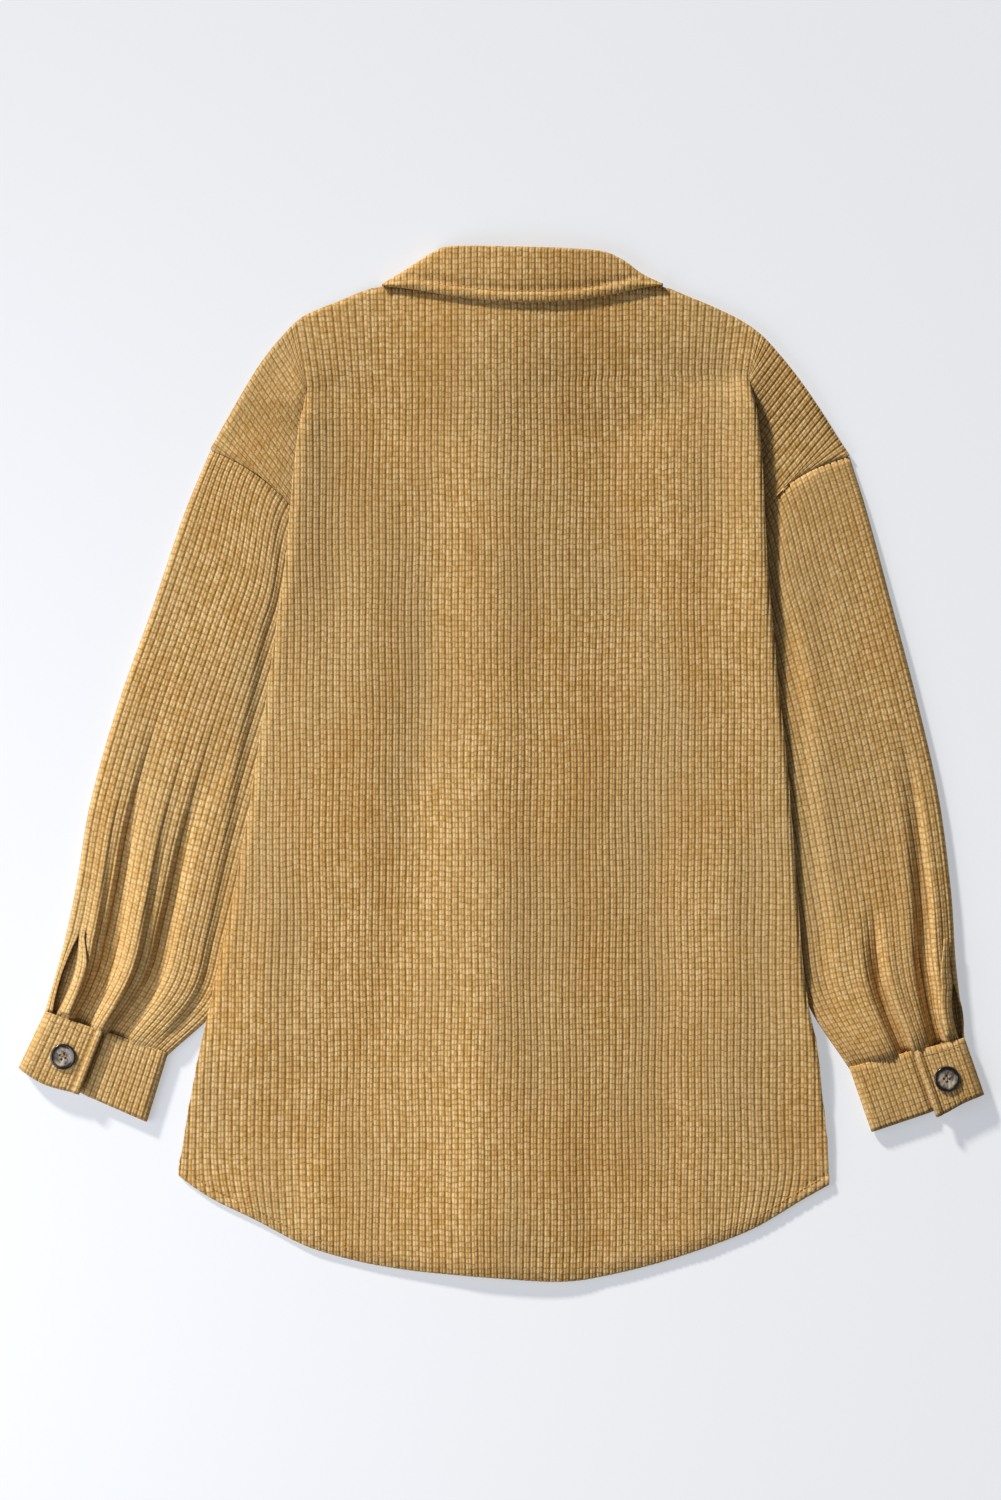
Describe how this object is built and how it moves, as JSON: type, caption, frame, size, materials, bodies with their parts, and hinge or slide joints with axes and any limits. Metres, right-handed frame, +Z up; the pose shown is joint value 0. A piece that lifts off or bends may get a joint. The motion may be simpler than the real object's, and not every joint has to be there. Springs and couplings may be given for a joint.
{
  "type": "button-front jacket",
  "caption": "Loose button-front corduroy jacket with dropped shoulders, turned-down collar, buttoned cuffs and a curved longer back hem, laid flat on its front.",
  "frame": {"origin": "centre of the jacket's outline on the surface it lies on", "axes": "+Z up, away from the surface; +Y towards the collar; +X towards the wearer's right"},
  "size_m": [0.7624, 0.8183, 0.0182],
  "materials": {
    "corduroy": "wide-wale cotton corduroy, washed",
    "button": "polished horn-look resin"
  },
  "bodies": {
    "root": {"back": "corduroy", "front_left": "corduroy", "front_right": "corduroy", "sleeve_left": "corduroy", "sleeve_right": "corduroy", "cuff_left": "corduroy", "cuff_right": "corduroy", "slit_binding_left": "corduroy", "slit_binding_right": "corduroy", "collar": "corduroy", "cuff_button_left": "button", "cuff_button_right": "button", "front_button_1": "button", "front_button_2": "button", "front_button_3": "button", "front_button_4": "button", "front_button_5": "button", "front_button_6": "button"}
  },
  "joints": []
}
